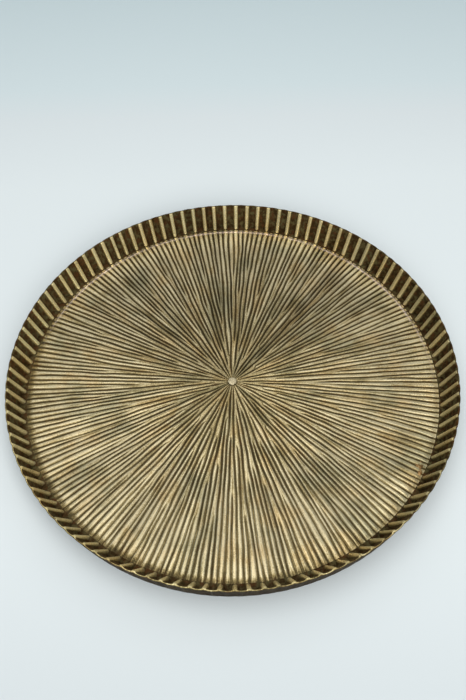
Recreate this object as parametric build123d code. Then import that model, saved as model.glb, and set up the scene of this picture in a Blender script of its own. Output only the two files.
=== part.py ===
from build123d import *
from math import cos, sin, pi, radians
import os

# A round brass tray: a ribbed floor disc, a fluted wall that stands round its edge, the brazed
# seam between the two, a stud riveted through the middle and four pads under the floor.
# Millimetres. +Z is up, and the origin is on the tray's axis, at the underside of the pads.

# Overall
RIM_RADIUS = 200.0          # outermost line of the rim, at the middle of a flute
WALL_RISE = 22.8            # rim top above the tops of the ribs
FLOOR_THICKNESS = 3.0       # underside to rib tops
PAD_THICKNESS = 1.2

# Fluted wall
FLUTES = 111
OUTER_FLARE = 4.2           # how far the outer face leans out from base to rim
OUTER_SCALLOP = 0.85        # how far the outer face draws in behind each crest
RIM_LAND = 1.4              # wall behind a channel, at the rim
BASE_WALL = 4.4             # wall behind a channel, at the floor
RIM_FLUTE_DEPTH = 1.2       # crest to channel at the rim
BASE_FLUTE_DEPTH = 5.0      # crest to channel at the floor
RIM_CREST_WIDTH = 2.7
BASE_CREST_WIDTH = 3.2
CREST_SHARE = 0.35          # part of a flute's depth that is the rounded crest

# Joint between the wall and the floor
SEAT_CLEARANCE = 0.1        # floor edge to the wall's bore
SEAM_CLEARANCE = 0.05       # braze to the steps on each side of it
FLOOR_LEDGE = 2.0           # step round the floor's edge that the braze lies on
WALL_LEDGE = 1.0            # the same step inside the wall
CREST_SETBACK = 0.3         # flat left between the step and the feet of the crests
LEDGE_DEPTH = 1.0
SEAM_HOLLOW = 0.7           # how far the braze dips below the rib tops
SEAM_SLOPE = 0.9            # width of the braze's slope up to the wall

# Grooves between the ribs
GROOVES_PER_FLUTE = 2
GROOVE_PITCH = 4.2          # spacing that a new groove starts at, near the middle
GROOVE_DEPTH = 0.9
GROOVE_WIDTH = 2.3
GROOVE_START_DEPTH = 0.4
GROOVE_START_WIDTH = 0.9
GROOVE_OVERRUN = 0.5        # how far a groove's cutter passes the ribs' outer ends
RIB_END_SLOPE = 2.5         # length over which the ribs' outer ends slope down
RIB_END_DROP = 0.5
MIDDLE_GAP = 5.0            # flat left round the stud's head

# Stud riveted through the middle
STUD_RADIUS = 2.5
STUD_CLEARANCE = 0.05
STUD_HEAD_RADIUS = 3.9
STUD_HEAD_HEIGHT = 0.8
STUD_HEAD_CHAMFER = 0.3
STUD_TAIL_RADIUS = 4.2
STUD_TAIL_HEIGHT = 0.7

# Pads under the floor
PADS = 4
PAD_RADIUS = 7.0
PAD_CHAMFER = 0.25
PAD_INSET = 35.0            # pad centre in from the floor's edge

# Levels and radii that follow from these
UNDERSIDE = PAD_THICKNESS
RIB_TOP = UNDERSIDE + FLOOR_THICKNESS
RIM_TOP = RIB_TOP + WALL_RISE
LEDGE_TOP = RIB_TOP - LEDGE_DEPTH
OUTER_BASE_RADIUS = RIM_RADIUS - OUTER_FLARE
CHANNEL_RIM_RADIUS = RIM_RADIUS - RIM_LAND
CHANNEL_BASE_RADIUS = OUTER_BASE_RADIUS - BASE_WALL
CREST_RIM_RADIUS = CHANNEL_RIM_RADIUS - RIM_FLUTE_DEPTH
CREST_BASE_RADIUS = CHANNEL_BASE_RADIUS - BASE_FLUTE_DEPTH
WALL_LEDGE_RADIUS = CREST_BASE_RADIUS - CREST_SETBACK
WALL_BORE_RADIUS = WALL_LEDGE_RADIUS - WALL_LEDGE
FLOOR_RADIUS = WALL_BORE_RADIUS - SEAT_CLEARANCE
RIB_FIELD_RADIUS = FLOOR_RADIUS - FLOOR_LEDGE
FLUTE_ANGLE = 360.0 / FLUTES


def on_circle(radius, angle, z):
    """The point at this radius, angle in degrees and height."""
    return Vector(radius * cos(radians(angle)), radius * sin(radians(angle)), z)


def fluted_outline(crest_radius, channel_radius, crest_width, z):
    """One closed line of rounded crests and hollow channels, crest 0 on +X."""
    half_crest = crest_width / crest_radius / 2 * 180 / pi
    shoulder_radius = crest_radius + (channel_radius - crest_radius) * CREST_SHARE
    edges = []
    for flute in range(FLUTES):
        middle = flute * FLUTE_ANGLE
        edges.append(Edge.make_three_point_arc(
            on_circle(shoulder_radius, middle - half_crest, z),
            on_circle(crest_radius, middle, z),
            on_circle(shoulder_radius, middle + half_crest, z)))
        edges.append(Edge.make_three_point_arc(
            on_circle(shoulder_radius, middle + half_crest, z),
            on_circle(channel_radius, middle + FLUTE_ANGLE / 2, z),
            on_circle(shoulder_radius, middle + FLUTE_ANGLE - half_crest, z)))
    return Wire(edges)


def scalloped_outline(radius, z):
    """One closed line that bulges behind each channel and draws in behind each crest."""
    edges = []
    for flute in range(FLUTES):
        start = flute * FLUTE_ANGLE
        edges.append(Edge.make_three_point_arc(
            on_circle(radius - OUTER_SCALLOP, start, z),
            on_circle(radius, start + FLUTE_ANGLE / 2, z),
            on_circle(radius - OUTER_SCALLOP, start + FLUTE_ANGLE, z)))
    return Wire(edges)


def disc(radius, low, high):
    """A plain cylinder on the tray's axis between two heights."""
    return Solid.make_cylinder(radius, high - low, Plane.XY.offset(low))


def fluted_wall():
    outer = Solid.make_loft([
        scalloped_outline(OUTER_BASE_RADIUS, UNDERSIDE),
        scalloped_outline(RIM_RADIUS, RIM_TOP)], ruled=True)
    inner = Solid.make_loft([
        fluted_outline(CREST_BASE_RADIUS, CHANNEL_BASE_RADIUS, BASE_CREST_WIDTH, RIB_TOP),
        fluted_outline(CREST_RIM_RADIUS, CHANNEL_RIM_RADIUS, RIM_CREST_WIDTH, RIM_TOP)], ruled=True)
    bore = disc(WALL_BORE_RADIUS, UNDERSIDE, RIB_TOP)
    ledge = disc(WALL_LEDGE_RADIUS, LEDGE_TOP, RIB_TOP)
    return outer - inner - bore - ledge


def start_order(count):
    """Going round the tray, each groove's turn to begin, so that any run of turns is spread out."""
    golden_share = (5 ** 0.5 - 1) / 2
    return sorted(range(count), key=lambda turn: turn * golden_share % 1)


def groove_section(radius, width, depth):
    """The triangle cut out of the floor at this radius, on the +X side."""
    spill = 0.2     # the triangle's top stands this far clear of the ribs
    half = width / 2 * (depth + spill) / depth
    return Wire.make_polygon([
        (radius, -half, RIB_TOP + spill),
        (radius, half, RIB_TOP + spill),
        (radius, 0, RIB_TOP - depth)])


def grooves():
    """Grooves run out to the ribs' ends, and new ones start between them as the gaps widen."""
    count = FLUTES * GROOVES_PER_FLUTE
    first = STUD_HEAD_RADIUS + MIDDLE_GAP
    last = RIB_FIELD_RADIUS + GROOVE_OVERRUN
    cuts = []
    for place, turn in enumerate(start_order(count)):
        start = first + turn * GROOVE_PITCH / (2 * pi)
        cut = Solid.make_loft([
            groove_section(start, GROOVE_START_WIDTH, GROOVE_START_DEPTH),
            groove_section(last, GROOVE_WIDTH, GROOVE_DEPTH)], ruled=True)
        angle = (place + 0.5) * 360 / count
        cuts.append(cut.rotate(Axis.Z, angle))
    return cuts


def turned(corners):
    """The solid swept round the tray's axis by a section of (radius, height) corners."""
    section = Face(Wire.make_polygon([(radius, 0, z) for radius, z in corners]))
    return revolve(section, Axis.Z)


def floor_plate():
    """A grooved disc with a step round its edge, where the ribs' outer ends slope down."""
    plate = turned([
        (STUD_RADIUS + STUD_CLEARANCE, UNDERSIDE),
        (FLOOR_RADIUS, UNDERSIDE),
        (FLOOR_RADIUS, LEDGE_TOP),
        (RIB_FIELD_RADIUS, LEDGE_TOP),
        (RIB_FIELD_RADIUS, RIB_TOP - RIB_END_DROP),
        (RIB_FIELD_RADIUS - RIB_END_SLOPE, RIB_TOP),
        (STUD_RADIUS + STUD_CLEARANCE, RIB_TOP)])
    return plate - grooves()


def braze_seam():
    """A ring of braze in the step between floor and wall, dipping and then sloping up the wall."""
    inside = RIB_FIELD_RADIUS + SEAM_CLEARANCE
    outside = WALL_LEDGE_RADIUS - SEAM_CLEARANCE
    return turned([
        (inside, LEDGE_TOP),
        (outside, LEDGE_TOP),
        (outside, RIB_TOP),
        (outside - SEAM_SLOPE, RIB_TOP - SEAM_HOLLOW),
        (inside, RIB_TOP - RIB_END_DROP)])


def centre_stud():
    """Flat head above the ribs, shank through the floor and a peened tail under it."""
    head = disc(STUD_HEAD_RADIUS, RIB_TOP, RIB_TOP + STUD_HEAD_HEIGHT)
    head = chamfer(head.edges().sort_by(Axis.Z)[-1], STUD_HEAD_CHAMFER)
    shank = disc(STUD_RADIUS, UNDERSIDE, RIB_TOP)
    tail = disc(STUD_TAIL_RADIUS, UNDERSIDE - STUD_TAIL_HEIGHT, UNDERSIDE)
    return head + shank + tail


def foot_pad(number):
    """One soft disc stuck under the floor, pad 1 between +X and +Y."""
    spot = on_circle(FLOOR_RADIUS - PAD_INSET, (number - 0.5) * 360 / PADS, 0)
    pad = Solid.make_cylinder(PAD_RADIUS, PAD_THICKNESS, Plane(spot))
    return chamfer(pad.edges().sort_by(Axis.Z)[0], PAD_CHAMFER)


pieces = {
    "floor_plate": floor_plate(),
    "fluted_wall": fluted_wall(),
    "braze_seam": braze_seam(),
    "centre_stud": centre_stud(),
}
for pad_number in range(1, PADS + 1):
    pieces[f"foot_pad_{pad_number}"] = foot_pad(pad_number)

os.makedirs("parts", exist_ok=True)
for name, piece in pieces.items():
    export_step(piece, f"parts/{name}.step")
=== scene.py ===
import math

import bmesh
import bpy
import numpy as np
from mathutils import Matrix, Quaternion, Vector


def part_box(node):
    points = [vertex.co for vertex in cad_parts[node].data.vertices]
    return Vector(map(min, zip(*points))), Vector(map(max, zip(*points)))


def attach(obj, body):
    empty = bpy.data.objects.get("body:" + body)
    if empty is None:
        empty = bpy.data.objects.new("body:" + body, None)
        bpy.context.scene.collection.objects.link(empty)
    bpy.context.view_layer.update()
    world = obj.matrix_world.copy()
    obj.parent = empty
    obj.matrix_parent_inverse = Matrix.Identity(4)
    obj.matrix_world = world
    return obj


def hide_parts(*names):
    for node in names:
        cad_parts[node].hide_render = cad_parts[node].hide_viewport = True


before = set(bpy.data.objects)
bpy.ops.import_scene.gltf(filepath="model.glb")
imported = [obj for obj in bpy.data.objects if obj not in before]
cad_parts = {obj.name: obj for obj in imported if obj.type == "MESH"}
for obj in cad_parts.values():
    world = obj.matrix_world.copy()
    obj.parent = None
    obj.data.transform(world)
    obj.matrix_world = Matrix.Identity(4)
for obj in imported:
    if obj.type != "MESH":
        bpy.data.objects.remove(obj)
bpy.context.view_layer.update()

# A round brass tray: a ribbed floor, a fluted wall round its edge, the braze that joins them with
# two small spills of it, a stud through the middle and four pads underneath.

# ---------------------------------------------------------------------------------------------
# Sizes, in metres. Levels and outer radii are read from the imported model's boxes.
# ---------------------------------------------------------------------------------------------
MM = 0.001
FULL_TURN = 2 * math.pi

floor_low, floor_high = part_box("floor_plate")
wall_low, wall_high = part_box("fluted_wall")
seam_low, seam_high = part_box("braze_seam")
stud_low, stud_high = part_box("centre_stud")

UNDERSIDE = floor_low.z
RIB_TOP = floor_high.z
FLOOR_RADIUS = floor_high.x
LEDGE_TOP = seam_low.z
SEAM_OUTSIDE = seam_high.x
RIM_TOP = wall_high.z
RIM_RADIUS = wall_high.x - 0.05 * MM

# Fluted wall
FLUTES = 111
WALL_BORE = FLOOR_RADIUS + 0.1 * MM
WALL_LEDGE = SEAM_OUTSIDE + 0.05 * MM
CREST_BASE = 186.2 * MM
CREST_RIM = 197.4 * MM
CHANNEL_BASE = 191.4 * MM
CHANNEL_RIM = 198.7 * MM
OUTER_BASE = 195.4 * MM
OUTER_SCALLOP = 0.6 * MM
CREST_WIDTH_BASE = 3.9 * MM
CREST_WIDTH_RIM = 3.4 * MM
SHOULDER_SHARE = 0.42       # part of a flute's depth that is the rounded crest
CREST_FOOT = 0.8 * MM       # height over which a crest rounds off into the gutter
RIM_ROUND = 0.45 * MM       # rounding of the rim's two edges
RIM_CORNER = 0.13 * MM      # how far the middle of that rounding stands in from the sharp edge
FOOT_CUT = 0.4 * MM         # chamfer at the bottom of the outer face
RIM_WEAR = 0.06 * MM
RIM_WEAR_MOST = 0.3 * MM
GUTTER_DROP = 0.8 * MM      # gutter below the rib tops
GUTTER = RIB_TOP - GUTTER_DROP

# Ribbed floor
RIBS = 2 * FLUTES
INNER_PITCH = 3.4 * MM      # ribs keep about this spacing by splitting as they run out
OUTER_PITCH = 4.05 * MM
RIBS_AT_MIDDLE = 27
RIB_DEPTH = 1.1 * MM
RIB_CROWN = 0.5 * MM        # part of that depth that is the rib's rounded back
RIB_START = 4.3 * MM
RIB_FIELD = 183.0 * MM
RIB_FALL = 180.3 * MM       # from here the rib ends round down into the gutter
STUD_HOLE = 2.55 * MM
COLUMNS_DOUBLE = (14 * MM, 60 * MM)     # radii at which the floor's mesh takes twice the columns
VALLEY_STEP = 0.5 * MM      # step between the radii at which the valleys' courses are worked out
VALLEY_SWAY = 0.018 * MM

# Stud and braze
STUD_SHANK = 2.5 * MM
BRAZE_LIFT = 0.35 * MM      # how high the braze heaps up over the rib ends
BRAZE_RIDGE = 0.47 * MM     # the bead's top above the rib ends, where it is fullest
BRAZE_SINK = 0.9 * MM       # how far the braze has sunk where there is none of the bead

SAME_PLACE = 0.02 * MM      # points this near one radius belong to the same ring
TOUCHING = 1e-6


# ---------------------------------------------------------------------------------------------
# Modelling helpers
# ---------------------------------------------------------------------------------------------
def begin_ring(name, corners, radius, height, centre=(0.0, 0.0)):
    """A new piece that starts as one ring of edges, all selected in edit mode."""
    bpy.ops.object.select_all(action="DESELECT")
    bpy.ops.mesh.primitive_circle_add(vertices=corners, radius=radius, fill_type="NOTHING",
                                      location=(centre[0], centre[1], height))
    piece = bpy.context.object
    piece.name = name
    piece.data.name = name
    bpy.ops.object.transform_apply(location=True, rotation=True, scale=True)
    bpy.ops.object.mode_set(mode="EDIT")
    bpy.ops.mesh.select_all(action="SELECT")
    return piece


def grow_through(places, centre=(0.0, 0.0)):
    """Extrudes the selected ring through a list of (radius, height) places."""
    for (radius, height), (next_radius, next_height) in zip(places, places[1:]):
        bpy.ops.mesh.extrude_edges_move()
        share = next_radius / radius
        if share != 1:
            bpy.ops.transform.resize(value=(share, share, 1),
                                     center_override=(centre[0], centre[1], height))
        if next_height != height:
            bpy.ops.transform.translate(value=(0, 0, next_height - height))


def select_points(piece, wanted):
    """Selects only the points that the test wants, and the edges between them."""
    mesh = bmesh.from_edit_mesh(piece.data)
    for v in mesh.verts:
        v.select_set(wanted(v.co))
    mesh.select_flush_mode()
    bmesh.update_edit_mesh(piece.data)


def double_columns(piece):
    """Splits every edge of the outermost ring in two, and leaves that ring selected."""
    mesh = bmesh.from_edit_mesh(piece.data)
    outermost = max(v.co.xy.length for v in mesh.verts) - 0.01 * MM
    select_points(piece, lambda place: place.xy.length > outermost)
    bpy.ops.mesh.subdivide(number_cuts=1)
    mesh = bmesh.from_edit_mesh(piece.data)
    outermost = max(v.co.xy.length for v in mesh.verts) - 0.01 * MM
    select_points(piece, lambda place: place.xy.length > outermost)


def close_poles(piece, first_place, centre=(0.0, 0.0)):
    """Gathers the last ring, which is selected, into one point, and then the first ring."""
    bpy.ops.mesh.merge(type="CENTER")
    radius, height = first_place
    select_points(piece, lambda place: (
        abs(math.hypot(place.x - centre[0], place.y - centre[1]) - radius) < TOUCHING
        and abs(place.z - height) < TOUCHING))
    bpy.ops.mesh.merge(type="CENTER")


def close_piece(piece, smooth_angle):
    """Merges doubles, turns the faces outward, shades smooth and leaves edit mode."""
    bpy.ops.mesh.select_all(action="SELECT")
    bpy.ops.mesh.remove_doubles(threshold=TOUCHING)
    bpy.ops.mesh.normals_make_consistent(inside=False)
    bpy.ops.object.mode_set(mode="OBJECT")
    bpy.ops.object.select_all(action="DESELECT")
    piece.select_set(True)
    bpy.context.view_layer.objects.active = piece
    bpy.ops.object.shade_smooth_by_angle(angle=math.radians(smooth_angle))


def points_of(piece):
    """The piece's vertices as rows of x, y, z."""
    points = np.empty(len(piece.data.vertices) * 3)
    piece.data.vertices.foreach_get("co", points)
    return points.reshape(-1, 3)


def radius_of(points):
    """Each point's distance from the axis."""
    return np.hypot(points[:, 0], points[:, 1])


def turn_of(points):
    """Each point's angle round the axis, 0 to a full turn."""
    return np.arctan2(points[:, 1], points[:, 0]) % FULL_TURN


def move_points(piece, points):
    """Puts the piece's vertices at these places."""
    piece.data.vertices.foreach_set("co", points.ravel())
    piece.data.update()


def keep_value(piece, name, values):
    """Stores one number per vertex, for the finishes to read."""
    layer = piece.data.attributes.new(name, "FLOAT", "POINT")
    layer.data.foreach_set("value", np.asarray(values, np.float32))


def smooth_step(low, high, x):
    """0 below low, 1 above high, and an even curve between them."""
    t = np.clip((x - low) / (high - low), 0, 1)
    return t * t * (3 - 2 * t)


def facing(turn, degrees, low, high):
    """0 to 1: how far round toward this direction a place lies. +X is 0 and the back is 90."""
    return smooth_step(low, high, np.cos(turn - math.radians(degrees)))


def ripple(turn, waves, generator):
    """A gentle closed ripple round the tray, mostly within -1 to 1, of a few seeded waves."""
    total = np.zeros_like(turn)
    for wave in waves:
        total += generator.normal() * np.cos(wave * turn + generator.uniform(0, FULL_TURN))
    return total / math.sqrt(len(waves))


# ---------------------------------------------------------------------------------------------
# Ribbed floor
# ---------------------------------------------------------------------------------------------
def ribs_wanted(radius):
    """How many ribs stand side by side round the tray at this radius."""
    pitch = INNER_PITCH + (OUTER_PITCH - INNER_PITCH) * smooth_step(30 * MM, 90 * MM, radius)
    return int(np.clip(FULL_TURN * radius / pitch, RIBS_AT_MIDDLE, RIBS))


def with_next_lap(angles):
    """A round of angles, with the first one again a full turn later."""
    return np.append(angles, angles[0] + FULL_TURN)


def grow_valleys():
    """Radii, valley angles at each radius, and the radius at which each valley begins.

    All valleys are there at the edge. Going inward the ribs crowd, so a valley with little room
    ends, its two ribs run together, and the valleys that are left even out. An ended valley
    keeps a place between its neighbours, so that every row has the same count."""
    chance = np.random.default_rng(5)
    pitch = FULL_TURN / RIBS
    angles = (np.arange(RIBS) + 0.5 + chance.normal(0, 0.07, RIBS)) * pitch
    radii = np.arange(RIB_FIELD + 1 * MM, RIB_START - 1 * MM, -VALLEY_STEP)
    alive = np.ones(RIBS, bool)
    begins = np.zeros(RIBS)
    rows = np.empty((len(radii), RIBS))
    sway = chance.normal(0, 1, RIBS)
    for row, radius in enumerate(radii):
        wanted = ribs_wanted(radius)
        kept = np.flatnonzero(alive)
        while len(kept) > wanted:
            room = np.diff(with_next_lap(angles[kept]))
            crowding = (room + np.roll(room, 1)) * chance.uniform(0.75, 1.25, len(kept))
            ended = kept[np.argmin(crowding)]
            alive[ended] = False
            begins[ended] = radius
            kept = np.flatnonzero(alive)
        here = angles[kept]
        before = np.append(here[-1] - FULL_TURN, here[:-1])
        after = np.append(here[1:], here[0] + FULL_TURN)
        evening = 0.026 if radius < 0.7 * RIM_RADIUS else 0.01
        sway = 0.93 * sway + 0.37 * chance.normal(0, 1, RIBS)
        here = here + evening * ((before + after) / 2 - here) + sway[kept] * VALLEY_SWAY / radius
        angles[kept] = here
        lap_places = np.concatenate(([kept[-1] - RIBS], kept, [kept[0] + RIBS]))
        lap_angles = np.concatenate(([here[-1] - FULL_TURN], with_next_lap(here)))
        rows[row] = np.interp(np.arange(RIBS), lap_places, lap_angles)
    return radii[::-1], rows[::-1], begins


valley_radii, valley_rows, valley_begins = grow_valleys()
rib_chance = np.random.default_rng(7)
valley_fade_in = rib_chance.uniform(4, 18, RIBS) * MM
rib_tone = rib_chance.normal(0, 1, RIBS)
rib_sink = np.abs(rib_chance.normal(0, 0.09, RIBS)) * MM


def valleys_at(radius):
    """Angle of every valley at this radius, and its strength from 0 to 1."""
    place = np.clip((radius - valley_radii[0]) / VALLEY_STEP, 0, len(valley_radii) - 1.001)
    low = int(place)
    share = place - low
    angles = valley_rows[low] * (1 - share) + valley_rows[low + 1] * share
    grown = np.clip((radius - valley_begins) / valley_fade_in, 0, 1) ** 0.6
    grown = np.where(valley_begins == 0, 1, grown)
    middle = 0.5 + 0.5 * smooth_step(RIB_START, RIB_START + 14 * MM, radius)
    return angles, grown * middle


def rib_relief(radius, columns):
    """Angle, cut, polish, tone and sink of each column round the floor at this radius."""
    angles, strength = valleys_at(radius)
    place = np.arange(columns) * RIBS / columns
    home = np.floor(place + 1e-9).astype(int)
    slots = np.arange(RIBS + 1)
    theta = np.interp(place, slots, with_next_lap(angles))
    at_front = facing(theta, 270, -0.1, 0.9) * smooth_step(80 * MM, 130 * MM, radius)
    narrowing = smooth_step(60 * MM, 150 * MM, radius)
    pitch = FULL_TURN * radius / ribs_wanted(radius)
    bottom_half = (0.085 - 0.025 * narrowing) * (1 - 0.25 * at_front) * pitch
    flank_width = (0.23 - 0.03 * narrowing) * (1 - 0.3 * at_front) * pitch
    crown_width = 0.5 * pitch
    cut = np.zeros(columns)
    valley = np.zeros(columns)
    side = np.zeros(columns)
    for offset in range(-10, 12):       # an ended valley may lie this many slots away
        which = (home + offset) % RIBS
        lap = np.floor_divide(home + offset, RIBS) * FULL_TURN
        away = np.abs(theta - angles[which] - lap) * radius
        spread = 0.3 + 0.7 * strength[which]
        flank = 1 - smooth_step(0, 1, (away - bottom_half * spread) / (flank_width * spread))
        crown = np.clip(1 - away / crown_width, 0, 1) ** 2
        depth = (RIB_DEPTH - RIB_CROWN) * flank + RIB_CROWN * crown
        cut = np.maximum(cut, strength[which] * depth)
        valley = np.maximum(valley, np.clip(2.2 * strength[which], 0, 1) * flank)
        side = np.maximum(side, crown)
    # Partly painted highlight and shade: a rib's crown is kept brighter than its sides, which is
    # partly real wear of the crown; less so toward the front.
    polish = (1 - valley) * (1 - (0.33 - 0.12 * at_front) * side)
    tone = np.interp(place, slots, np.append(rib_tone, rib_tone[0]))
    sink = np.interp(place, slots, np.append(rib_sink, rib_sink[0]))
    return theta, cut, polish, tone, sink


def painted_light_round_tray(theta, ring, on_rib):
    """Painted light and shade: how much lighter (above 0) or darker the floor is made here, by
    where it lies round the tray.
    """
    at_front = facing(theta, 270, -0.1, 0.9)
    before_front = facing(theta, 258, 0.72, 0.95)
    at_left = facing(theta, 180, 0.3, 0.9)
    at_far_right = facing(theta, 0, 0.4, 0.95)
    at_right = 0.5 + 0.5 * np.cos(theta - math.radians(25))
    at_back = facing(theta, 90, 0.2, 0.9)
    near_wall = smooth_step(160 * MM, 178 * MM, ring)
    near_middle = 1 - smooth_step(25 * MM, 75 * MM, ring)
    toward_ends = smooth_step(155 * MM, 176 * MM, ring)
    on_ends = smooth_step(176 * MM, 181 * MM, ring)
    ribs = (at_right * (4 * near_wall + 2.5 * near_middle)
            + at_back * (3.8 * toward_ends + 3 * on_ends)
            - at_front * (2.8 - 1.4 * near_wall) * smooth_step(85 * MM, 110 * MM, ring))
    hollows = (3 * before_front * smooth_step(90 * MM, 130 * MM, ring)
               - 1.5 * (1 - at_front))
    return on_rib * ribs + (1 - on_rib) * hollows - 3.1 * at_back - 1.7 * at_left - at_far_right


def end_fall(radius):
    """How far the rib ends have rounded down below the rib tops at this radius."""
    share = np.clip((radius - RIB_FALL) / (SEAM_OUTSIDE - RIB_FALL), 0, 1)
    return GUTTER_DROP * share ** 1.3


def shape_floor_ring(points, here, ring, chance):
    """Works one ring of the floor's top into ribs, and returns its polish and tone, with painted
    light and shade added to both.
    """
    columns = len(here)
    column = np.round(turn_of(points[here]) / (FULL_TURN / columns)).astype(int) % columns
    theta, cut, polish, tone, sink = (value[column] for value in rib_relief(ring, columns))
    fall = end_fall(ring)
    rough = np.abs(chance.normal(0, 0.025, columns)[column]) * MM
    points[here, 0] = ring * np.cos(theta)
    points[here, 1] = ring * np.sin(theta)
    points[here, 2] = RIB_TOP - fall - cut * (1 - fall / GUTTER_DROP) - (sink + rough) * polish

    # Painted light: toward the front, 80 to 150 mm out, the hollows are lifted toward the ribs'
    # brightness.
    front_hollow_light = facing(theta, 270, -0.1, 0.9) * smooth_step(80 * MM, 150 * MM, ring)
    polish = np.maximum(polish, 0.23 * front_hollow_light)
    # Painted shade of the wall: toward the front left, the last millimetres of the rib ends are
    # dulled.
    wall_shade_on_ends = facing(theta, 225, -0.1, 0.8) * smooth_step(RIB_FALL - 1 * MM, SEAM_OUTSIDE, ring)
    polish = polish * (1 - 0.62 * wall_shade_on_ends)
    on_rib = smooth_step(0.15, 0.5, polish)
    return polish, tone + painted_light_round_tray(theta, ring, on_rib)


def braze_share(radius, turn):
    """How much braze has heaped up along the rib ends here, 0 to 1, most of it at the back."""
    chance = np.random.default_rng(41)
    heap = np.clip(0.8 + 0.4 * ripple(turn, (7, 18, 33, 75, 140), chance), 0.15, 1)
    bead = np.exp(-((radius - RIB_FIELD - 0.3 * MM) / (1.0 * MM)) ** 2)
    return heap * bead * smooth_step(0.05, 0.6, np.sin(turn) + 0.15 * np.cos(turn))


def make_floor():
    """The ribbed floor, its stepped edge, its underside and the hole for the stud."""
    first_double, second_double = COLUMNS_DOUBLE
    inner = list(np.linspace(RIB_START, first_double, 5))
    middle = list(np.linspace(first_double, second_double, 15))[1:]
    outer = list(np.linspace(second_double, RIB_FALL, 28))[1:]
    ends = list(np.linspace(RIB_FALL, RIB_FIELD, 5))[1:]

    floor = begin_ring("ribbed_floor", 2 * RIBS, STUD_HOLE, UNDERSIDE)
    grow_through([(STUD_HOLE, UNDERSIDE), (STUD_HOLE, RIB_TOP - 1.1 * MM),
                  (STUD_HOLE + 1 * MM, RIB_TOP - 0.9 * MM)]
                 + [(ring, RIB_TOP) for ring in inner])
    double_columns(floor)
    grow_through([(ring, RIB_TOP) for ring in inner[-1:] + middle])
    double_columns(floor)
    grow_through([(ring, RIB_TOP) for ring in middle[-1:] + outer + ends])
    grow_through([
        (RIB_FIELD, RIB_TOP), (RIB_FIELD, LEDGE_TOP), (FLOOR_RADIUS, LEDGE_TOP),
        (FLOOR_RADIUS, UNDERSIDE + 0.3 * MM), (FLOOR_RADIUS - 0.3 * MM, UNDERSIDE),
        (150 * MM, UNDERSIDE), (100 * MM, UNDERSIDE), (50 * MM, UNDERSIDE),
        (STUD_HOLE, UNDERSIDE)])
    close_piece(floor, 60)

    points = points_of(floor)
    radius = radius_of(points)
    on_top = np.abs(points[:, 2] - RIB_TOP) < 0.01 * MM
    in_hole = (radius < RIB_START - 0.1 * MM) & (points[:, 2] > UNDERSIDE + 0.1 * MM)
    polish = np.full(len(points), 0.45)
    tone = np.zeros(len(points))
    chance = np.random.default_rng(23)
    for ring in inner + middle + outer + ends:
        here = np.flatnonzero(on_top & (np.abs(radius - ring) < SAME_PLACE))
        polish[here], tone[here] = shape_floor_ring(points, here, ring, chance)
    polish[in_hole] = 0
    held = 0.4 + 0.6 * smooth_step(0.1, 0.5, polish)
    rose = np.where(on_top, 0.85 * held * braze_share(radius, turn_of(points)), 0)
    points[:, 2] += BRAZE_LIFT * rose
    move_points(floor, points)
    keep_value(floor, "polish", np.maximum(polish, rose))
    keep_value(floor, "rose", rose)
    keep_value(floor, "tone", tone)
    return floor


# ---------------------------------------------------------------------------------------------
# Fluted wall
# ---------------------------------------------------------------------------------------------
PER_FLUTE = 16
CREST_COLUMNS = (0.0, 0.45, 0.8, 1.0)           # across half a crest
CHANNEL_COLUMNS = (0.09, 0.25, 0.5, 0.76, 1.0)  # from the crest to the channel's middle
INSIDE_LEVELS = (0.0, 0.02, 0.05, 0.09, 0.14, 0.24, 0.38, 0.54, 0.7, 0.84, 0.94)
OUTSIDE_LEVELS = (0.9, 0.7, 0.5, 0.3, 0.12)
DARKEST = -7.2              # tone of the outer face: its dark patina, plus painted shade


def wall_outline():
    """The wall's section as (radius, height, part, share).

    The share is how far up a face the place is, or how far it is rounded off at an edge."""
    outline = [(WALL_BORE, UNDERSIDE, "base", 0), (WALL_BORE, LEDGE_TOP, "base", 0),
               (WALL_LEDGE, LEDGE_TOP, "base", 0), (WALL_LEDGE, GUTTER, "base", 0)]
    outline += [(CHANNEL_BASE, GUTTER + (RIM_TOP - GUTTER) * share, "inside", share)
                for share in INSIDE_LEVELS]
    inside_top = 1 - RIM_ROUND / (RIM_TOP - GUTTER)
    outline += [(CHANNEL_RIM, RIM_TOP - RIM_ROUND, "inside", inside_top),
                (CHANNEL_RIM + RIM_CORNER, RIM_TOP - RIM_CORNER, "lip", RIM_CORNER),
                (CHANNEL_RIM + RIM_ROUND, RIM_TOP, "lip", RIM_ROUND),
                (RIM_RADIUS - RIM_ROUND, RIM_TOP, "edge", RIM_ROUND),
                (RIM_RADIUS - RIM_CORNER, RIM_TOP - RIM_CORNER, "edge", RIM_CORNER),
                (RIM_RADIUS, RIM_TOP - RIM_ROUND, "edge", 0.0)]
    outline += [(OUTER_BASE, UNDERSIDE + (RIM_TOP - UNDERSIDE) * share, "outside", share)
                for share in OUTSIDE_LEVELS]
    outline += [(OUTER_BASE, UNDERSIDE + FOOT_CUT, "outside", 0.0),
                (OUTER_BASE - FOOT_CUT, UNDERSIDE, "foot", FOOT_CUT)]
    return outline


def flute_place(column, crest_half):
    """Where a column lies across its flute, 0 at the crest and 0.5 in the channel."""
    mirrored = np.where(column > PER_FLUTE // 2, PER_FLUTE - column, column)
    places = np.array([c * crest_half for c in CREST_COLUMNS]
                      + [crest_half + c * (0.5 - crest_half) for c in CHANNEL_COLUMNS])
    across = places[mirrored]
    return np.where(column > PER_FLUTE // 2, 1 - across, across)


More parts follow.
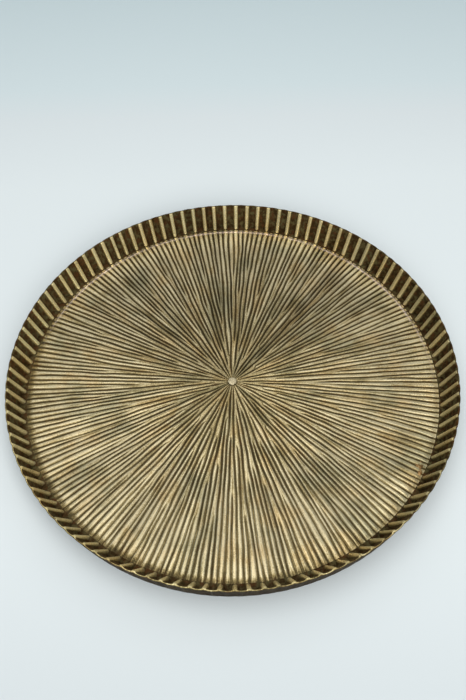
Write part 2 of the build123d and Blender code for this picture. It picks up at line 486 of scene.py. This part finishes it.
def flute_shape(across, crest_half):
    """How far out of the crest's line the surface lies, 0 at the crest and 1 in the channel."""
    folded = np.minimum(across, 1 - across)
    over_crest = np.clip(folded / crest_half, 0, 1)
    crest = SHOULDER_SHARE * (1 - np.sqrt(1 - over_crest ** 2.2 * 0.98))
    into = np.clip((folded - crest_half) / (0.5 - crest_half), 0, 1)
    channel = SHOULDER_SHARE + (1 - SHOULDER_SHARE) * (1 - (1 - into) ** 2.6) ** (1 / 1.5)
    return np.where(folded <= crest_half + 1e-9, crest, channel)


def between(low, high, share):
    """Part of the way, by this share, from one value to another."""
    return low + (high - low) * share


def inner_radius(shape, up, rise):
    """Radius of the inner face, whose crests round back to the channels near the gutter."""
    crest = between(CREST_BASE, CREST_RIM, up)
    channel = between(CHANNEL_BASE, CHANNEL_RIM, up)
    above_foot = min(max(rise / CREST_FOOT, 0.0), 1.0)
    crest += (channel - crest) * (1 - math.sqrt(1 - (1 - above_foot) ** 2))
    return crest + (channel - crest) * shape


def rim_wear(turn, chance):
    """How far the rim has worn down at each place, and how bright its edges are, brighter toward
    the front.
    """
    worn = RIM_WEAR * (1 + ripple(turn, (3, 7, 16, 41, 88), chance))
    # The rim's edges are made brighter toward the front, brightest near 318 degrees, in patches.
    to_front = smooth_step(0.1, 0.8, -np.sin(turn) - 0.3 * np.cos(turn))
    brightest = np.exp(-((turn - math.radians(318)) / 0.3) ** 2)
    patchy = ripple(turn, (6, 17, 40, 83, 131), chance)
    rubbed = 0.18 + 0.44 * to_front + 0.14 * patchy + brightest * (0.05 + 0.45 * patchy)
    return np.clip(worn, 0, RIM_WEAR_MOST), np.clip(rubbed, 0.1, 1)


def make_wall():
    """The ring of flutes: its section grown ring by ring, then worked into crests and channels."""
    columns = FLUTES * PER_FLUTE
    outline = wall_outline()
    wall = begin_ring("fluted_wall_ring", columns, outline[0][0], outline[0][1])
    grow_through([(radius, height) for radius, height, _, _ in outline + outline[:1]])
    close_piece(wall, 60)

    # No two flutes are quite alike, and some have a paler stripe down the channel
    chance = np.random.default_rng(31)
    lean = chance.normal(0, 0.045, FLUTES + 1)
    lean[FLUTES] = lean[0]
    width = 1 + chance.normal(0, 0.07, FLUTES)
    depth = chance.normal(0, 0.12, FLUTES) * MM
    stripe = np.where(chance.random(FLUTES) < 0.45, chance.uniform(0.1, 0.32, FLUTES), 0) * MM
    flute_tone = chance.normal(0, 1, FLUTES)

    points = points_of(wall)
    radius = radius_of(points)
    height = points[:, 2].copy()
    around = turn_of(points)
    index = np.round(around / (FULL_TURN / columns)).astype(int) % columns
    flute, column = index // PER_FLUTE, index % PER_FLUTE
    worn, rubbed = rim_wear(around, chance)
    polish = np.zeros(len(points))
    # Painted light and shade: besides each flute's own tone, the wall is made darker toward +X and
    # lighter toward -X.
    tone = (0.6 * flute_tone[flute] - 2.5 * facing(around, 0, 0.2, 0.9)
            + 1.8 * facing(around, 180, 0.2, 0.9))
    for ring, level, part, share in outline:
        here = np.flatnonzero((np.abs(radius - ring) < SAME_PLACE)
                              & (np.abs(height - level) < 0.1 * SAME_PLACE))
        k = flute[here]
        up = share if part in ("inside", "outside") else 1.0 if part in ("lip", "edge") else 0.0
        flute_width = FULL_TURN * ring / FLUTES
        crest_half = between(CREST_WIDTH_BASE, CREST_WIDTH_RIM, up) / 2 / flute_width
        across = flute_place(column[here], crest_half)
        turn = (k + lean[k] + across * (1 + lean[k + 1] - lean[k])) * FULL_TURN / FLUTES
        folded = np.minimum(across, 1 - across)
        on_crest = 1 - smooth_step(0.65, 1.45, folded / crest_half)
        mid_channel = smooth_step(0.38, 0.5, folded)
        shape = flute_shape(across, crest_half * width[k])
        rise = level - GUTTER
        outward = RIM_RADIUS if part == "edge" else between(OUTER_BASE, RIM_RADIUS, up)
        outer_radius = outward - OUTER_SCALLOP * (0.25 + 0.75 * up) * (1 - 2 * folded) ** 2
        if part == "inside":
            uneven = (depth[k] * shape - stripe[k] * mid_channel) * (1 - up * 0.6)
            placed = inner_radius(shape, up, rise) + uneven * min(1.0, rise / CREST_FOOT)
            shine = np.maximum(on_crest * (0.6 + 0.4 * smooth_step(0, CREST_FOOT, rise)),
                               0.9 * stripe[k] / MM * mid_channel)
        elif part == "lip":
            placed = inner_radius(shape, up, rise) + share
            shine = np.maximum(rubbed[here] * (share / RIM_ROUND), 0.7 * on_crest)
        elif part == "edge":
            placed = outer_radius - share
            shine = rubbed[here] * (0.35 + 0.65 * share / RIM_ROUND)
        elif part == "outside":
            placed = outer_radius
            shine = 0.04 + 0.14 * (2 * folded) ** 3
        elif part == "foot":
            placed = outer_radius - share
            shine = np.full(len(here), 0.15)
        else:
            placed = np.full(len(here), ring)
            shine = np.full(len(here), 0.35 if level == UNDERSIDE else 0.12)
        points[here, 0] = placed * np.cos(turn)
        points[here, 1] = placed * np.sin(turn)
        if part in ("lip", "edge"):
            points[here, 2] = level - worn[here]
        # The outer face and its foot take the darkest tone: dark patina, plus painted shade.
        if part in ("outside", "foot"):
            tone[here] = DARKEST
        polish[here] = shine
    move_points(wall, points)
    keep_value(wall, "polish", polish)
    keep_value(wall, "tone", tone)
    return wall


# ---------------------------------------------------------------------------------------------
# Seam, spills, stud and pads
# ---------------------------------------------------------------------------------------------
def make_seam():
    """The ring of braze in the gutter. The rib ends run down across it to the wall."""
    inside = RIB_FIELD + 0.05 * MM
    tops = list(np.linspace(SEAM_OUTSIDE, inside, 8))
    outline = [(inside, LEDGE_TOP), (SEAM_OUTSIDE, LEDGE_TOP)]
    outline += [(ring, RIB_TOP - 0.5 * MM) for ring in tops]
    seam = begin_ring("braze_ring", 8 * RIBS, *outline[0])
    grow_through(outline + outline[:1])
    close_piece(seam, 60)

    points = points_of(seam)
    radius = radius_of(points)
    turn = turn_of(points)
    on_top = points[:, 2] > LEDGE_TOP + 0.1 * MM
    polish = np.full(len(points), 0.3)
    tone = np.zeros(len(points))
    chance = np.random.default_rng(41)
    for ring in tops:
        here = np.flatnonzero(on_top & (np.abs(radius - ring) < SAME_PLACE))
        polish[here], tone[here] = shape_floor_ring(points, here, ring, chance)
    uneven = 0.05 * MM * ripple(turn, (5, 13, 37, 61, 111, 222), chance)
    rose = np.where(on_top, braze_share(radius, turn), 0)
    ridge = RIB_TOP - end_fall(inside) + BRAZE_RIDGE - BRAZE_SINK * (1 - rose)
    top = np.maximum(points[:, 2], ridge) + np.clip(uneven, -0.08 * MM, 0.1 * MM)
    points[:, 2] = np.where(on_top, np.maximum(top, LEDGE_TOP + 0.05 * MM), points[:, 2])
    move_points(seam, points)
    keep_value(seam, "polish", np.clip(np.maximum(polish, 1.15 * rose), 0, 1))
    keep_value(seam, "rose", rose)
    keep_value(seam, "tone", tone)
    return seam


def make_spill(name, reach, turn, wide, long):
    """A small flattened bead of braze that ran over the rib ends, this far out and round."""
    bpy.ops.object.select_all(action="DESELECT")
    bpy.ops.mesh.primitive_uv_sphere_add(segments=40, ring_count=20, radius=1.0)
    spill = bpy.context.object
    spill.name = name
    spill.data.name = name
    bpy.ops.object.mode_set(mode="EDIT")
    close_piece(spill, 80)

    chance = np.random.default_rng(43)
    points = points_of(spill)
    around = turn_of(points)
    lobes = 1 + 0.16 * ripple(around, (2, 3, 5), chance) + 0.07 * ripple(around, (8, 11), chance)
    out = points[:, 0] * lobes * wide / 2
    along = points[:, 1] * lobes * long / 2
    lumps = 1 + 0.25 * ripple(points[:, 0] * 3 + points[:, 1] * 5, (1, 2), chance)
    up = np.where(points[:, 2] > 0, points[:, 2] * 0.3 * lumps, points[:, 2] * 0.5) * MM
    points[:, 0] = (reach + out) * math.cos(turn) - along * math.sin(turn)
    points[:, 1] = (reach + out) * math.sin(turn) + along * math.cos(turn)
    points[:, 2] = RIB_TOP - 0.45 * MM + up
    move_points(spill, points)
    keep_value(spill, "polish", 0.6 + 0.2 * ripple(around, (2, 5), chance))
    keep_value(spill, "tone", np.full(len(points), 0.5))
    return spill


def make_stud():
    """The stud: worn flat head, shank through the floor and a peened tail under it."""
    top, bottom, tail = stud_high.z, stud_low.z, stud_high.x
    head = [(0.7, 0.02), (1.8, 0.0), (2.8, 0.03), (3.45, 0.1),      # radius and drop, in mm
            (3.85, 0.24), (4.08, 0.45), (4.1, 0.75)]
    outline = [(radius * MM, top - drop * MM) for radius, drop in head]
    outline += [(3.6 * MM, RIB_TOP - 0.35 * MM), (STUD_SHANK, RIB_TOP - 0.4 * MM),
                (STUD_SHANK, UNDERSIDE), (tail, UNDERSIDE - 0.02 * MM),
                (tail - 0.1 * MM, bottom + 0.35 * MM), (3.3 * MM, bottom + 0.12 * MM),
                (2.0 * MM, bottom), (0.8 * MM, bottom)]
    stud = begin_ring("centre_stud_head", 64, *outline[0])
    grow_through(outline)
    close_poles(stud, outline[0])
    close_piece(stud, 60)

    chance = np.random.default_rng(47)
    points = points_of(stud)
    turn = turn_of(points)
    radius = radius_of(points)
    out_of_round = np.abs(ripple(turn, (2, 3, 5, 9), chance))
    out_of_round *= smooth_step(1 * MM, 3.5 * MM, radius)
    points[:, :2] *= (1 - 0.035 * out_of_round)[:, None]
    dent = np.abs(ripple(turn, (1, 3, 4), chance)) * smooth_step(0.3 * MM, 3 * MM, radius)
    points[:, 2] -= np.where(points[:, 2] > RIB_TOP + 0.3 * MM, 0.05 * MM * dent, 0)
    move_points(stud, points)
    keep_value(stud, "polish", np.where(points[:, 2] > RIB_TOP + 0.2 * MM, 1.0, 0.15))
    keep_value(stud, "tone", np.full(len(points), 1.2))
    return stud


def make_pad(node):
    """One thin soft pad with a rounded lower edge and two moulded rings underneath."""
    low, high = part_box(node)
    centre = ((low.x + high.x) / 2, (low.y + high.y) / 2)
    edge = (high.x - low.x) / 2
    pole, groove = 0.6 * MM, 0.12 * MM
    outline = [(pole, high.z), (edge - 0.15 * MM, high.z), (edge, high.z - 0.15 * MM),
               (edge, low.z + 0.35 * MM), (edge - 0.12 * MM, low.z + 0.1 * MM),
               (edge - 0.45 * MM, low.z)]
    for outer, inner in ((5.6 * MM, 4.8 * MM), (3.2 * MM, 2.4 * MM)):
        outline += [(outer, low.z), (outer - 0.2 * MM, low.z + groove),
                    (inner + 0.2 * MM, low.z + groove), (inner, low.z)]
    outline.append((pole, low.z))
    pad = begin_ring(node + "_rubber", 48, *outline[0], centre)
    grow_through(outline, centre)
    close_poles(pad, outline[0], centre)
    close_piece(pad, 40)
    return pad


# ---------------------------------------------------------------------------------------------
# Finishes
# ---------------------------------------------------------------------------------------------
OLIVE_GRIME = (0.115, 0.096, 0.040)
RUSTY_GRIME = (0.098, 0.045, 0.015)
DULL_TINT = (0.42, 0.47, 0.44)
WARM_TINT = (1.0, 0.79, 0.53)
PIT_TINT = (0.4, 0.35, 0.3)
ROSE_BRAZE = (1.0, 0.83, 0.72)
TONE_RANGE = (-7.25, 8)     # darkest and lightest tone kept on the pieces
TONE_LIGHT = (0.42, 1.64)   # what the brass's own colour is multiplied by there


class Finish:
    """A material and short ways of adding and joining its nodes."""

    def __init__(self, name):
        self.material = bpy.data.materials.new(name)
        self.material.use_nodes = True
        self.nodes = self.material.node_tree.nodes
        self.links = self.material.node_tree.links
        self.shader = self.nodes["Principled BSDF"]

    def add(self, kind, **settings):
        node = self.nodes.new("ShaderNode" + kind)
        for name, value in settings.items():
            setattr(node, name, value)
        return node

    def join(self, source, target):
        """Joins an output to an input, or sets the input if source is a plain value."""
        if isinstance(source, bpy.types.NodeSocket):
            self.links.new(source, target)
        else:
            target.default_value = source

    def place(self):
        """Where the surface is on the tray."""
        return self.add("TexCoord").outputs["Object"]

    def fractal(self, place, scale, detail, roughness):
        """A noise node read at these places."""
        node = self.add("TexNoise")
        node.inputs["Scale"].default_value = scale
        node.inputs["Detail"].default_value = detail
        node.inputs["Roughness"].default_value = roughness
        self.join(place, node.inputs["Vector"])
        return node.outputs["Fac"]

    def noise(self, scale, detail=3.0, roughness=0.5, shift=None):
        """Fractal noise over the piece, about 0.3 to 0.7. The scale is in cells per metre."""
        place = self.place()
        if shift:
            mapping = self.add("Mapping")
            mapping.inputs["Location"].default_value = shift
            self.join(place, mapping.inputs["Vector"])
            place = mapping.outputs["Vector"]
        return self.fractal(place, scale, detail, roughness)

    def rays(self, across, along, detail=3.0, roughness=0.55, shift=0.0):
        """Noise drawn out along the tray's radii: cells per radian, and cells per metre."""
        flat = self.add("VectorMath", operation="MULTIPLY")
        self.join(self.place(), flat.inputs[0])
        flat.inputs[1].default_value = (1, 1, 0)
        length = self.add("VectorMath", operation="LENGTH")
        self.join(flat.outputs[0], length.inputs[0])
        unit = self.add("VectorMath", operation="NORMALIZE")
        self.join(flat.outputs[0], unit.inputs[0])
        wide = self.add("VectorMath", operation="SCALE")
        self.join(unit.outputs[0], wide.inputs[0])
        wide.inputs["Scale"].default_value = across
        out = self.add("CombineXYZ")
        self.join(self.math("MULTIPLY_ADD", length.outputs["Value"], along, shift), out.inputs["Z"])
        total = self.add("VectorMath", operation="ADD")
        self.join(wide.outputs[0], total.inputs[0])
        self.join(out.outputs[0], total.inputs[1])
        return self.fractal(total.outputs[0], 1.0, detail, roughness)

    def value(self, name):
        """One of the numbers kept on the piece's vertices."""
        return self.add("Attribute", attribute_name=name).outputs["Fac"]

    def math(self, operation, a, b=0.0, c=0.0, clamp=False):
        node = self.add("Math", operation=operation, use_clamp=clamp)
        for source, socket in zip((a, b, c), node.inputs):
            self.join(source, socket)
        return node.outputs[0]

    def spread(self, source, low, high, to_low=0.0, to_high=1.0):
        """Maps low to high of a value onto another range, held at its ends."""
        node = self.add("MapRange")
        self.join(source, node.inputs["Value"])
        for name, number in zip(("From Min", "From Max", "To Min", "To Max"),
                                (low, high, to_low, to_high)):
            node.inputs[name].default_value = number
        return node.outputs["Result"]

    def ramp(self, source, stops):
        """Turns a value into a colour, through a list of (place, colour) stops."""
        node = self.add("ValToRGB")
        ramp = node.color_ramp
        while len(ramp.elements) < len(stops):
            ramp.elements.new(0.5)
        for element, (place, colour) in zip(ramp.elements, stops):
            element.position = place
            element.color = (*colour, 1)
        self.join(source, node.inputs["Fac"])
        return node.outputs["Color"]

    def mix(self, share, a, b, blend="MIX"):
        """Lays colour b over colour a, by this share."""
        node = self.add("Mix", data_type="RGBA", blend_type=blend)
        self.join(share, node.inputs["Factor"])
        below, above = node.inputs[6], node.inputs[7]       # the colour sockets of this node
        for colour, socket in ((a, below), (b, above)):
            self.join((*colour, 1) if isinstance(colour, tuple) else colour, socket)
        return node.outputs[2]

    def bump(self, height, strength, distance, under=None):
        """Small relief, on top of another bump if one is given."""
        node = self.add("Bump")
        node.inputs["Strength"].default_value = strength
        node.inputs["Distance"].default_value = distance
        self.join(height, node.inputs["Height"])
        if under:
            self.join(under, node.inputs["Normal"])
        return node.outputs["Normal"]


def aged_brass(name, stops, patches=0.55, warmth=0.4, streaks=0.2, mottles=0.5):
    """Brass with dark patina in its hollows, rubbed bright on its ribs and edges.

    The piece's "polish" runs from 0 in a hollow to 1 on a rubbed crest, its "tone" makes it darker
    or lighter, and its "rose" turns it to the pinker braze. The other shares say how strongly dull
    and warm patches, streaks along the radii and grime in the hollows show."""
    finish = Finish(name)
    cloud = finish.noise(45, 4.0, 0.6)
    grain = finish.noise(800, 3.0, 0.6)
    streak = finish.rays(95, 30)
    scratch = finish.rays(270, 45)
    uneven = finish.math("ADD", finish.spread(cloud, 0.3, 0.7, -0.1, 0.1),
                         finish.spread(grain, 0.3, 0.7, -0.14, 0.14))
    uneven = finish.math("ADD", uneven, finish.spread(streak, 0.3, 0.7, -streaks, streaks))
    uneven = finish.math("ADD", uneven, finish.spread(scratch, 0.3, 0.7, -streaks, streaks))
    # Polish on the floor, and tone on the floor and wall, also hold painted light and shade, set by
    # where a place lies round the tray.
    polish = finish.math("ADD", finish.value("polish"), uneven, clamp=True)
    colour = finish.ramp(polish, stops)

    tone = finish.value("tone")
    toned = finish.add("VectorMath", operation="SCALE")
    finish.join(colour, toned.inputs[0])
    finish.join(finish.spread(tone, *TONE_RANGE, *TONE_LIGHT), toned.inputs["Scale"])
    colour = toned.outputs[0]

    # Grime lies in the hollows, and less of it shows where the tone is very dark
    hollow = finish.math("MULTIPLY", finish.spread(polish, 0.2, 0.6, mottles, 0),
                         finish.spread(tone, -6, -3, 0.3, 1))
    olive = finish.spread(finish.noise(240, 3.0, 0.6, (0.4, 0.2, 0)), 0.46, 0.62)
    colour = finish.mix(finish.math("MULTIPLY", olive, hollow), colour, OLIVE_GRIME)
    rust = finish.spread(finish.noise(200, 3.0, 0.6, (0.9, 0.5, 0)), 0.5, 0.64)
    colour = finish.mix(finish.math("MULTIPLY", rust, hollow), colour, RUSTY_GRIME)
    dull = finish.spread(finish.rays(3.2, 22, 3.0, 0.6, 4.0), 0.5, 0.64, 0, patches)
    colour = finish.mix(dull, colour, DULL_TINT, "MULTIPLY")
    warm = finish.spread(finish.rays(7, 35, 3.0, 0.6, 9.0), 0.49, 0.64, 0, warmth)
    colour = finish.mix(warm, colour, WARM_TINT, "MULTIPLY")
    colour = finish.mix(finish.value("rose"), colour, ROSE_BRAZE)
    pits = finish.spread(finish.noise(1300, 1.0, 0.4, (0.2, 0.6, 0)), 0.62, 0.7, 0, 0.6)
    colour = finish.mix(pits, colour, PIT_TINT, "MULTIPLY")

    rough = finish.math("ADD", finish.spread(polish, 0.1, 0.9, 0.72, 0.3),
                        finish.spread(cloud, 0.35, 0.65, -0.05, 0.07), clamp=True)
    shader = finish.shader
    finish.join(colour, shader.inputs["Base Color"])
    finish.join(rough, shader.inputs["Roughness"])
    finish.join(finish.spread(polish, 0.15, 0.7, 0.4, 0.8), shader.inputs["Metallic"])
    finish.join(finish.spread(polish, 0.1, 0.7, 0.08, 0.5), shader.inputs["Specular IOR Level"])
    lines = finish.bump(scratch, 0.5, 0.12 * MM, finish.bump(streak, 0.5, 0.16 * MM))
    coarse = finish.bump(finish.noise(260, 3.0, 0.55), 0.5, 0.12 * MM, lines)
    fine = finish.bump(grain, 0.4, 0.05 * MM, coarse)
    finish.join(fine, shader.inputs["Normal"])
    return finish.material


def pad_rubber():
    """Matt dark rubber, faintly mottled and grained."""
    finish = Finish("pad_rubber")
    mottle = finish.noise(300, 3.0)
    finish.join(finish.ramp(mottle, [(0.3, (0.020, 0.018, 0.016)), (0.7, (0.042, 0.038, 0.034))]),
                finish.shader.inputs["Base Color"])
    finish.join(finish.spread(mottle, 0.3, 0.7, 0.72, 0.86), finish.shader.inputs["Roughness"])
    grain = finish.bump(finish.noise(2500, 2.0), 0.3, 0.04 * MM)
    finish.join(grain, finish.shader.inputs["Normal"])
    return finish.material


def table_paper():
    """Pale paper, with painted shade that darkens it a little toward its back and front."""
    finish = Finish("table_paper")
    along = finish.add("SeparateXYZ")
    finish.join(finish.place(), along.inputs["Vector"])
    # Painted shade: darker toward the back and a little toward the front, lightest between.
    back = finish.spread(along.outputs["Y"], -0.35, 0.65)
    colour = finish.ramp(back, [(0.08, (0.665, 0.715, 0.73)), (0.23, (0.775, 0.83, 0.84)),
                                (0.61, (0.775, 0.83, 0.84)), (0.72, (0.73, 0.785, 0.80)),
                                (0.78, (0.675, 0.765, 0.785)), (1.0, (0.585, 0.685, 0.71))])
    finish.join(colour, finish.shader.inputs["Base Color"])
    rough = finish.spread(finish.noise(400), 0.3, 0.7, 0.85, 0.95)
    finish.join(rough, finish.shader.inputs["Roughness"])
    finish.shader.inputs["Specular IOR Level"].default_value = 0.2
    return finish.material


def wear(piece, material):
    """Gives a piece its finish and lets it ride on the tray."""
    piece.data.materials.clear()
    piece.data.materials.append(material)
    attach(piece, "root")


# ---------------------------------------------------------------------------------------------
# The tray. Each brass runs from its dark hollows to its rubbed crests.
# ---------------------------------------------------------------------------------------------
FLOOR_STOPS = [(0.0, (0.072, 0.052, 0.023)), (0.25, (0.11, 0.081, 0.033)),
               (0.5, (0.265, 0.197, 0.075)), (0.75, (0.445, 0.352, 0.170)),
               (1.0, (0.71, 0.605, 0.370))]
WALL_STOPS = [(0.0, (0.044, 0.024, 0.007)), (0.3, (0.08, 0.050, 0.017)),
              (0.6, (0.42, 0.34, 0.14)), (1.0, (0.93, 0.82, 0.48))]
SPILL_STOPS = [(0.0, (0.09, 0.045, 0.018)), (0.5, (0.38, 0.215, 0.08)), (1.0, (0.76, 0.52, 0.26))]
STUD_STOPS = [(0.0, (0.05, 0.04, 0.02)), (0.6, (0.27, 0.225, 0.13)), (1.0, (0.55, 0.475, 0.31))]

floor = make_floor()
wear(floor, aged_brass("floor_brass", FLOOR_STOPS))
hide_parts("floor_plate")

wall = make_wall()
wear(wall, aged_brass("wall_brass", WALL_STOPS, patches=0.25, streaks=0.08, mottles=1.0))
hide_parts("fluted_wall")

seam = make_seam()
wear(seam, aged_brass("braze", FLOOR_STOPS))
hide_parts("braze_seam")
spill_brass = aged_brass("braze_bead", SPILL_STOPS)
for name, reach, degrees, wide, long in (("braze_spill", 180.3, -29.8, 6.0, 8.2),
                                         ("braze_drop", 183.2, -31.6, 3.4, 5.2)):
    spill = make_spill(name, reach * MM, math.radians(degrees), wide * MM, long * MM)
    wear(spill, spill_brass)

stud = make_stud()
wear(stud, aged_brass("stud_brass", STUD_STOPS))
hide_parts("centre_stud")

rubber = pad_rubber()
for number in range(1, 5):
    node = f"foot_pad_{number}"
    pad = make_pad(node)
    wear(pad, rubber)
    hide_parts(node)

# ---------------------------------------------------------------------------------------------
# Table, light and camera
# ---------------------------------------------------------------------------------------------
bpy.ops.object.select_all(action="DESELECT")
bpy.ops.mesh.primitive_plane_add(size=12)
table = bpy.context.object
table.name = "table"
table.data.materials.append(table_paper())

LAMP_COLOUR = (1.0, 0.99, 0.97)
SKY_COLOUR = (0.90, 0.96, 1.0)
SKY_STRENGTH = 0.42


def soft_light(name, place, aim, width, depth, power):
    """A rectangular lamp that faces the place aimed at."""
    lamp = bpy.data.lights.new(name, "AREA")
    lamp.shape = "RECTANGLE"
    lamp.size, lamp.size_y = width, depth
    lamp.energy = power
    lamp.color = LAMP_COLOUR
    light = bpy.data.objects.new(name, lamp)
    light.location = place
    light.rotation_mode = "QUATERNION"
    light.rotation_quaternion = (Vector(aim) - Vector(place)).to_track_quat("-Z", "Y")
    bpy.context.scene.collection.objects.link(light)


soft_light("top_softbox", (-0.05, 0.0, 1.6), (0, 0.02, 0), 2.0, 1.2, 11.5)
soft_light("front_softbox", (0.25, -1.4, 1.1), (0, 0, 0), 1.8, 1.0, 17)
soft_light("back_softbox", (0, 1.6, 1.4), (0, 0, 0), 3.0, 0.8, 4)

world = bpy.data.worlds.new("studio")
world.use_nodes = True
sky = world.node_tree.nodes["Background"]
sky.inputs["Color"].default_value = (*SKY_COLOUR, 1)
sky.inputs["Strength"].default_value = SKY_STRENGTH
bpy.context.scene.world = world

CAMERA_PLACE = Vector((0.0, -0.38573, RIB_TOP + 0.61508))
CAMERA_AIM = Vector((0.00144, 0.03437, RIB_TOP))
CAMERA_ROLL = -1.427        # degrees
SENSOR_WIDTH = 36.0         # millimetres
FOCAL_LENGTH = 40.95
lens = bpy.data.cameras.new("camera")
lens.sensor_width = SENSOR_WIDTH
lens.lens = FOCAL_LENGTH
camera = bpy.data.objects.new("camera", lens)
camera.location = CAMERA_PLACE
camera.rotation_mode = "QUATERNION"
camera.rotation_quaternion = ((CAMERA_AIM - CAMERA_PLACE).to_track_quat("-Z", "Y")
                              @ Quaternion((0, 0, 1), math.radians(CAMERA_ROLL)))
bpy.context.scene.collection.objects.link(camera)
bpy.context.scene.camera = camera
bpy.context.scene.view_settings.view_transform = "Standard"
